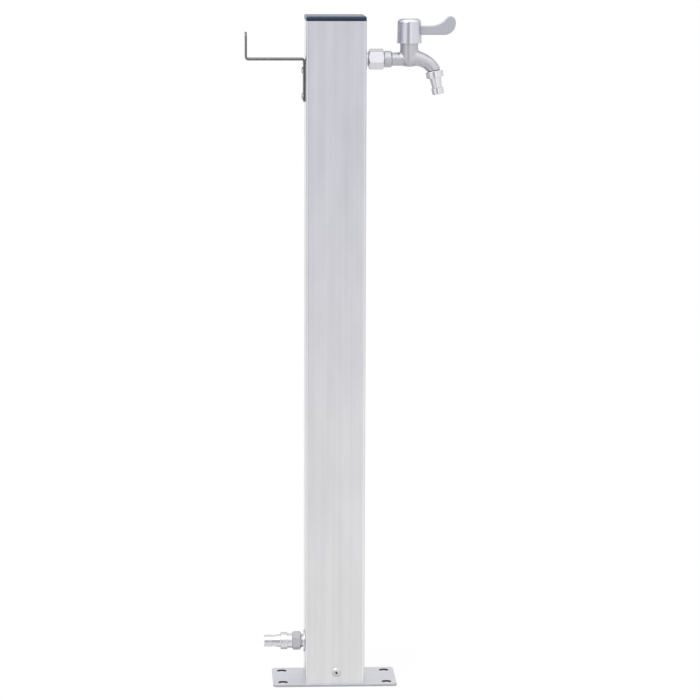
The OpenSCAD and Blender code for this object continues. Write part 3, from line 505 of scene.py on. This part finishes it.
# Riser: a rubber hose inside the post, its ends crimped on brass tails that
# chromed nuts hold on two brass elbows. It brings the water up to the tap.
brass, shader, place = new_finish("plain_brass", 1.0, 0.34)
tarnish = place.noise((180, 180, 180), 4.0, 0.6)
feed(shader, "Base Color", tarnish.blend((0.72, 0.53, 0.24, 1), (0.52, 0.36, 0.15, 1)))
feed(shader, "Roughness", 0.26 + tarnish * 0.2)
relief(shader, tarnish, 0.02 * mm, 0.5)
dress(brass, "inlet_lock_nut", "inlet_elbow", "lower_hose_tail", "upper_hose_tail",
      "outlet_elbow", "outlet_lock_nut", "valve_cartridge", "spindle")
dress(satin_chrome, "lower_hose_nut", "upper_hose_nut", "lower_ferrule", "upper_ferrule")

hose_rubber, shader, place = new_finish("hose_rubber", 0.0, 0.55)
ribs = place.noise((900, 900, 60), 2.0)
feed(shader, "Base Color", ribs.blend(grey(0.012), grey(0.028)))
feed(shader, "Roughness", 0.45 + ribs * 0.2)
relief(shader, ribs, 0.04 * mm, 0.5)
dress(hose_rubber, "riser_hose")


# Tap nut: a large hexagon nut, chromed bright, that draws the tap's thread
# and the wall fitting together on a gasket.
tap_nut_at, tap_nut_turn = 4.1 * mm, -13
tap_nut = hexagon(26 * mm, 22.6 * mm, thread_bore_r, edge=0.35 * mm, rim=1.1 * mm,
                  turn=tap_nut_turn)
stand(tap_nut, (post_face + tap_nut_at, 0, tap_height), (0, 90, 0))
nut_chrome, shader, place = new_finish("tap_nut_chrome", 1.0, 0.1)
haze = place.noise((140, 140, 140), 3.0)
feed(shader, "Base Color", haze.blend(grey(0.74, 0.045), grey(0.68, 0.04)))
feed(shader, "Roughness", 0.06 + haze * 0.1)
relief(shader, haze, 0.004 * mm, 0.4)
fit(tap_nut, "tap_hexagon_nut", "tap_nut", nut_chrome)


# Tap body: one stainless casting of pipe, barrel and bent spout, tumbled to a
# satin face. Its collar and the barrel's top are turned, its ways are drilled.
valve_reach = 61.5 * mm
valve_x = post_face + valve_reach
barrel_r, barrel_top, pipe_r, collar_r = 12.6 * mm, 23 * mm, 9.4 * mm, 11.75 * mm
shrink, axis_r, overlap = 0.2 * mm, 0.05 * mm, 4 * mm
spout_root_r, spout_tip_r, spout_pinch = 12.4 * mm, 9.5 * mm, 1.5 * mm
pipe_way_r, seat_r, port_r, nozzle_hole_r = 4.5 * mm, 9.75 * mm, 4 * mm, 6.65 * mm
spout_tilt = 11
spout_end = Vector((valve_x + 34.8 * mm, 0, tap_height - 15.4 * mm))
spout_way = Vector((math.sin(math.radians(spout_tilt)), 0, -math.cos(math.radians(spout_tilt))))
down_spout = (0, 180 - spout_tilt, 0)


def bent_tube(points, r0, r1, sides=12, pinch=0):
    """A closed tube along one curve, its radius from r0 to r1, less a pinch in the middle."""
    bpy.ops.object.select_all(action="DESELECT")
    bpy.ops.curve.primitive_bezier_curve_add()
    tube = bpy.context.object
    first, last = tube.data.splines[0].bezier_points
    for point in (first, last):
        point.handle_left_type = point.handle_right_type = "FREE"
    first.co, first.handle_right, last.handle_left, last.co = points
    first.handle_left, last.handle_right = 2 * points[0] - points[1], 2 * points[3] - points[2]
    bpy.ops.object.mode_set(mode="EDIT")
    bpy.ops.curve.select_all(action="SELECT")
    bpy.ops.curve.subdivide(number_cuts=3)
    bpy.ops.object.mode_set(mode="OBJECT")
    knots = tube.data.splines[0].bezier_points
    for number, knot in enumerate(knots):
        way = number / (len(knots) - 1)
        knot.radius = r0 + (r1 - r0) * way - 4 * pinch * way * (1 - way)
    tube.data.splines[0].radius_interpolation = "LINEAR"
    tube.data.bevel_depth, tube.data.bevel_resolution = 1.0, sides
    tube.data.resolution_u, tube.data.use_fill_caps = 8, True
    bpy.ops.object.convert(target="MESH")
    return bpy.context.object


def from_valve(x, z):
    """A place given in millimetres from where the pipe's and the barrel's axes meet."""
    return Vector((valve_x + x * mm, 0, tap_height + z * mm))


def from_spout(length):
    """A place past the spout's end, along its way."""
    return spout_end + length * spout_way


pipe_start, centre = (post_face, 0, tap_height), from_valve(0, 0)
pipe = drill(pipe_r + shrink, 34 * mm, valve_reach, pipe_start, (0, 90, 0))
belly = [(axis_r, -11 * mm), (4.5 * mm, -10.7 * mm), (8 * mm, -9.6 * mm),
         (10.4 * mm, -7.8 * mm), (12 * mm, -4.6 * mm), (barrel_r + shrink, 0)]
barrel = turned(belly + [(barrel_r + shrink, barrel_top + overlap), (axis_r, barrel_top + overlap)])
stand(barrel, centre)
spout = bent_tube([from_valve(2, 2.4), from_valve(17.4, 1.7), from_spout(-9.5 * mm),
                   from_spout(2.8 * mm)], spout_root_r, spout_tip_r + shrink,
                  pinch=spout_pinch - shrink)
alone(barrel)
pipe.select_set(True)
spout.select_set(True)
bpy.ops.object.join()
body = bpy.context.object
voxel, smoothings = 0.5 * mm, 100
modify(body, "REMESH", mode="VOXEL", voxel_size=voxel, adaptivity=0)
modify(body, "SMOOTH", factor=0.5, iterations=smoothings)
collar = turned([(water_r, 16 * mm), (9.6 * mm, 16 * mm), (thread_r, 17 * mm), (thread_r, 26.4 * mm),
                 (collar_r - 0.6 * mm, 26.7 * mm), (collar_r, 27.3 * mm), (collar_r, 35.2 * mm),
                 (collar_r - 0.4 * mm, 36 * mm), (pipe_r + 0.6 * mm, 37.2 * mm), (pipe_r, 37.9 * mm),
                 (pipe_r - 1.5 * mm, 38.4 * mm), (water_r, 38.4 * mm)])
stand(collar, pipe_start, (0, 90, 0))
carve(body, collar, "UNION")
low_start = (post_face, 0, tap_height - 2.5 * mm)
carve(body, drill(pipe_way_r, 30 * mm, valve_reach + pipe_way_r, low_start, (0, 90, 0), 48))
carve(body, drill(seat_r, 4.5 * mm, 30 * mm, centre))
carve(body, drill(port_r, -2.5 * mm, 6 * mm, centre, sides=48))
carve(body, drill(20 * mm, barrel_top, 30 * mm, centre))
carve(body, bent_tube([from_valve(4, 12), from_valve(16, 3.2), from_spout(-13 * mm),
                       from_spout(-2 * mm)], 3.6 * mm, 5 * mm, 6))
carve(body, drill(nozzle_hole_r, -6.5 * mm, 5 * mm, spout_end, down_spout, 48))
carve(body, drill(16 * mm, 0, 6 * mm, spout_end, down_spout, 48))
smooth(body, 40)

cast_steel, shader, place = new_finish("satin_cast_steel", 1.0, 0.36)
grain = place.noise((1500, 1500, 1500), 2.0)
tumble = place.noise((150, 150, 150), 3.0)
feed(shader, "Base Color", (grain * 0.3 + tumble * 0.7).blend(grey(0.59, 0.038), grey(0.46, 0.034)))
feed(shader, "Roughness", 0.29 + tumble * 0.12 + grain * 0.05)
relief(shader, grain + tumble * 3.0, 0.01 * mm, 0.5)
fit(body, "tap_casting", "tap_body", cast_steel)

ceramic, shader, place = new_finish("valve_ceramic", 0.0, 0.25)
speck = place.noise((2500, 2500, 2500), 2.0)
feed(shader, "Base Color", speck.blend(grey(0.82), (0.74, 0.73, 0.69, 1)))
feed(shader, "Roughness", 0.2 + speck * 0.1)
dress(ceramic, "fixed_disc", "turning_disc")


# Nozzle: a short chromed plug screwed into the spout's end on a washer, with a
# round collar, a tapering waist and a plain tip for a hose socket.
washer = 0.8 * mm
nozzle = hose_plug(stub=5.2 * mm, stub_r=6.6 * mm, neck=washer, neck_r=6.6 * mm,
                   collar_l=9.5 * mm, collar_r=12.5 * mm,
                   waist_l=14.1 * mm, waist_r0=8.75 * mm, waist_r1=7.1 * mm,
                   tip_l=9.5 * mm, tip_r=8.65 * mm, bore_r=4.5 * mm)
stand(nozzle, from_spout(washer), down_spout)
fit(nozzle, "tap_nozzle", "outlet_nozzle", bright_chrome)


# Handle: a zinc casting, satin chromed, with a bell over the barrel and a flat
# lever that rises to a round tip. A screw holds it down and a disc hides that.
foot, bell_top, bell_roof = 22.2 * mm, 57 * mm, 37 * mm
bell_r, bell_foot_r, bell_bore_r, shoulder_r = 16.85 * mm, 17.4 * mm, 14.25 * mm, 6 * mm
disc_r, disc_seat, screw_bore_r, screw_seat = 8.85 * mm, 54 * mm, 5.5 * mm, 48 * mm
lever_thick, lever_edge, spindle_square = 5.5 * mm, 1.5 * mm, 5.8 * mm


def arm(radius, degrees):
    """How long a curve's handle is for a round arc."""
    return radius * 4 / 3 * math.tan(math.radians(degrees) / 4)


def along(degrees, length):
    """A length in a direction, as a flat offset."""
    return Vector((math.cos(math.radians(degrees)), math.sin(math.radians(degrees)))) * length


end_at, tip_at, dip_at = Vector((49, 27.9)), Vector((57.67, 30.66)), Vector((29.5, 53.4))
end_r, tip_r, dip_r, meet = 16.3, 7.2, 29.0, 141.1
outline = [
    (Vector((15.2, 24.4)), None, None),
    (Vector((15.2, 11.6)), None, None),
    (end_at + along(-90, end_r), along(180, 8), along(0, arm(end_r, 90))),
    (end_at + along(0, end_r), along(-90, arm(end_r, 90)), along(90, arm(end_r, 17.7))),
    (end_at + along(17.7, end_r), along(-72.3, arm(end_r, 17.7)), along(107.7, arm(tip_r, 72.3))),
    (tip_at + along(90, tip_r), along(0, arm(tip_r, 72.3)), along(180, arm(tip_r, 51.1))),
    (tip_at + along(meet, tip_r), along(meet - 90, arm(tip_r, 51.1)),
     along(meet + 90, arm(dip_r, 51.1))),
    (dip_at + along(-90, dip_r), along(0, arm(dip_r, 51.1)), along(180, 4)),
]
bpy.ops.object.select_all(action="DESELECT")
bpy.ops.curve.primitive_bezier_circle_add()
lever = bpy.context.object
points = lever.data.splines[0].bezier_points
points.add(len(outline) - len(points))
for point, (at, back, ahead) in zip(points, outline):
    kind = "VECTOR" if back is None else "FREE"
    point.handle_left_type = point.handle_right_type = kind
    point.co = at.to_3d() * mm
    if back is not None:
        point.handle_left = (at + back).to_3d() * mm
        point.handle_right = (at + ahead).to_3d() * mm
lever.data.dimensions, lever.data.fill_mode = "2D", "BOTH"
lever.data.resolution_u = 16
lever.data.extrude = lever_thick / 2
bpy.ops.object.convert(target="MESH")
lever = bpy.context.object
stand(lever, from_valve(0, 22.2), (90, 0, 0))
bpy.ops.object.mode_set(mode="EDIT")
bpy.ops.mesh.select_all(action="SELECT")
bpy.ops.mesh.remove_doubles(threshold=0.01 * mm)
bpy.ops.mesh.dissolve_limited(angle_limit=math.radians(0.5))
bpy.ops.mesh.select_all(action="SELECT")
bpy.ops.mesh.normals_make_consistent(inside=False)
bpy.ops.object.mode_set(mode="OBJECT")
modify(lever, "BEVEL", width=lever_edge, segments=4, limit_method="ANGLE",
       angle_limit=math.radians(40))

shoulder = [(bell_r - shoulder_r + along(a, shoulder_r).x,
             bell_top - shoulder_r + along(a, shoulder_r).y) for a in range(0, 91, 10)]
rim = [(bell_bore_r, foot), (bell_foot_r - 0.4 * mm, foot), (bell_foot_r, foot + 0.4 * mm)]
recess = [(disc_r + 0.35 * mm, bell_top), (disc_r, bell_top - 0.35 * mm), (disc_r, disc_seat),
          (screw_bore_r, disc_seat), (screw_bore_r, screw_seat), (axis_r, screw_seat)]
handle = turned(rim + shoulder + recess + [(axis_r, bell_roof), (bell_bore_r, bell_roof)], 128)
stand(handle, centre)
carve(handle, lever, "UNION")
bpy.ops.object.select_all(action="DESELECT")
bpy.ops.mesh.primitive_cube_add(size=1, location=from_valve(0, 42.5),
                                scale=(spindle_square, spindle_square, 20 * mm))
square = bpy.context.object
stand(square, square.location.copy())
carve(handle, square)
smooth(handle, 32)

handle_chrome, shader, place = new_finish("satin_handle_chrome", 1.0, 0.2)
drawn = place.noise((60, 600, 900), 3.0, 0.6)
haze = place.noise((110, 110, 110), 3.0)
arm_zone = place.part("X").between(valve_x + 16.2 * mm, valve_x + 16.9 * mm)
polished = (drawn * 0.4 + haze * 0.6).blend(grey(0.70, 0.07), grey(0.59, 0.065))
brushed = (drawn * 0.6 + haze * 0.4).blend(grey(0.53, 0.060), grey(0.45, 0.056))
feed(shader, "Base Color", arm_zone.blend(polished, brushed))
feed(shader, "Roughness", 0.12 + drawn * 0.12 + haze * 0.06 + arm_zone * 0.22)
relief(shader, drawn, 0.01 * mm, 0.5)
fit(handle, "lever_handle", "tap_handle", handle_chrome, "handle")
dress(handle_chrome, "handle_cap")
dress(bright_steel, "handle_screw")


# Top cap: a dark plastic moulding with a soft upper edge, pressed into the
# post by its hollow skirt.
cap_base, cap_high, cap_corner = 943.5 * mm, 6.5 * mm, 3.5 * mm
cap_top_edge, cap_low_edge = 2 * mm, 0.3 * mm
skirt_half, skirt_deep, skirt_wall = 40.25 * mm, 14 * mm, 2 * mm

bpy.ops.object.select_all(action="DESELECT")
bpy.ops.mesh.primitive_cube_add(size=1, location=(0, 0, cap_base + cap_high / 2),
                                scale=(2 * post_face, 2 * post_face, cap_high))
cap = bpy.context.object
stand(cap, cap.location.copy())
bpy.ops.object.mode_set(mode="EDIT")
choose(cap, lambda a, b: abs(a.z - b.z) > cap_high / 2, "edges")
bpy.ops.mesh.bevel(offset=cap_corner, segments=10, affect="EDGES")
choose(cap, lambda a, b: min(a.z, b.z) > cap_base + cap_high - hair, "edges")
bpy.ops.mesh.bevel(offset=cap_top_edge, segments=8, affect="EDGES")
choose(cap, lambda a, b: max(a.z, b.z) < cap_base + hair, "edges")
bpy.ops.mesh.bevel(offset=cap_low_edge, segments=2, affect="EDGES")
choose(cap, lambda middle, normal: normal.z < -0.999)
bpy.ops.mesh.inset(thickness=post_face - skirt_half - cap_low_edge)
bpy.ops.mesh.extrude_region_move(TRANSFORM_OT_translate={"value": (0, 0, -skirt_deep)})
bpy.ops.mesh.inset(thickness=skirt_wall)
bpy.ops.mesh.extrude_region_move(TRANSFORM_OT_translate={"value": (0, 0, skirt_deep)})
bpy.ops.object.mode_set(mode="OBJECT")
smooth(cap, 30)

cold_shine = {"Specular IOR Level": 0.5, "Specular Tint": (0.72, 0.84, 1.0, 1)}
cap_plastic, shader, place = new_finish("cap_plastic", 0.0, 0.38, **cold_shine)
leather = place.noise((1800, 1800, 1800), 2.0)
worn = place.noise((60, 60, 60), 3.0)
# Painted shade: the cap is darker towards its foot and lighter towards its top.
edge = place.part("Z").between(cap_base + 2 * mm, cap_base + cap_high)
shaded_low_plastic, lit_high_plastic = (0.004, 0.009, 0.022, 1), (0.036, 0.054, 0.088, 1)
feed(shader, "Base Color", (edge * 0.8 + worn * 0.2).blend(shaded_low_plastic, lit_high_plastic))
feed(shader, "Roughness", 0.3 + worn * 0.12)
relief(shader, leather, 0.02 * mm, 0.5)
fit(cap, "post_cap", "top_cap", cap_plastic)


# Studio: a pale floor that keeps a soft shadow, a white room with dark and
# light cards for the chrome to show, one large soft lamp, and the camera.
floor_paint = bpy.data.materials.new("studio_floor")
floor_paint.use_nodes = True
tree = floor_paint.node_tree
tree.nodes.clear()
paint = Wire(tree).node("BsdfDiffuse", {}, {"Color": (0.85, 0.85, 0.85, 1)})
glow = paint.node("Emission", {}, {"Color": (1, 1, 1, 1), "Strength": 1.0})
seen = paint.node("LightPath", output=0)
mirrored = paint.node("LightPath", output=3)
clear = paint.node("BsdfTransparent")
whiteness = 0.92
out = seen.node("MixShader", {}, {0: seen * whiteness, 1: paint, 2: glow})
out = seen.node("MixShader", {}, {0: mirrored, 1: out, 2: clear})
end = tree.nodes.new("ShaderNodeOutputMaterial")
tree.links.new(out.socket, end.inputs[0])
bpy.ops.object.select_all(action="DESELECT")
bpy.ops.mesh.primitive_circle_add(vertices=96, radius=3, fill_type="NGON")
floor = bpy.context.object
floor.name = "floor"
floor.data.materials.append(floor_paint)

world = bpy.data.worlds.new("studio")
bpy.context.scene.world = world
world.use_nodes = True
tree = world.node_tree
tree.nodes.clear()
look = Wire(tree).node("TexCoord", output=0)
x, y, z = look.part("X"), look.part("Y"), look.part("Z")
across = x.node("Math", {"operation": "ARCTAN2"}, {0: x, 1: y * -1.0}) * (180 / math.pi)
rise = z.node("Math", {"operation": "ARCSINE"}, {0: z}) * (180 / math.pi)


def strip(angle, low, high, soft):
    """One between two angles and nothing outside them, with soft sides, in degrees."""
    return angle.between(low - soft, low + soft) * (1 - angle.between(high - soft, high + soft))


dark_card = strip(across, -25, 0, 5) * strip(rise, -22, 19, 5)
dark_core = strip(across, -4, 3, 1.5) * strip(rise, -22, 19, 5)
light_line = strip(across, 7, 19, 4) * strip(rise, -30, 30, 8)
side_cards = strip(size_of(across), 118, 146, 8) * strip(rise, -60, 60, 8)
left_card = strip(across, -146, -100, 6) * strip(rise, -60, 60, 8)
right_card = strip(across, 78, 150, 14) * strip(rise, -60, 60, 8)
back_card = strip(size_of(across), 140, 190, 8) * strip(rise, 32, 58, 6)
back_glow = (1 - strip(across, -168, 168, 3)) * strip(rise, -5, 6, 4)
front_high = rise.between(8, 52) * strip(across, -100, 100, 20)
under = 1 - rise.between(-28, -20)
room = (1.03 + front_high * 0.5 + light_line * 0.24 + back_glow * 0.42 - dark_card * 0.5
        - dark_core * 0.15 - side_cards * 0.22 - left_card * 0.25 - right_card * 0.07
        - back_card * 0.2 - under * 0.13)
darkest = 0.12
room = room.node("Math", {"operation": "MAXIMUM"}, {0: room, 1: darkest})
to_camera = look.node("LightPath", output=0)
level = room + to_camera * (1 - room)
background = look.node("Background", {}, {"Color": level, "Strength": 1.0})
end = tree.nodes.new("ShaderNodeOutputWorld")
tree.links.new(background.socket, end.inputs[0])

lamp_spot, lamp_target = (-1.6, -2.4, 3.0), Vector((0, 0, 0.5))
bpy.ops.object.light_add(type="AREA", location=lamp_spot)
lamp = bpy.context.object
lamp.data.shape, lamp.data.size = "DISK", 2.2
lamp.data.energy = 30
lamp.rotation_euler = (lamp_target - lamp.location).to_track_quat("-Z", "Y").to_euler()

camera_spot = (-194.68 * mm, -4335.77 * mm, 1122.24 * mm)
look_down, look_right, roll = 0.14743, 0.04993, 0.00312
bpy.ops.object.camera_add(location=camera_spot)
camera = bpy.context.object
level_view = Euler((math.pi / 2 - look_down, 0, -look_right)).to_matrix()
camera.rotation_euler = (level_view @ Matrix.Rotation(roll, 3, "Z")).to_euler()
camera.data.lens, camera.data.sensor_width = 159.12, 36
bpy.context.scene.camera = camera
bpy.context.scene.view_settings.view_transform = "Standard"

bpy.context.view_layer.update()
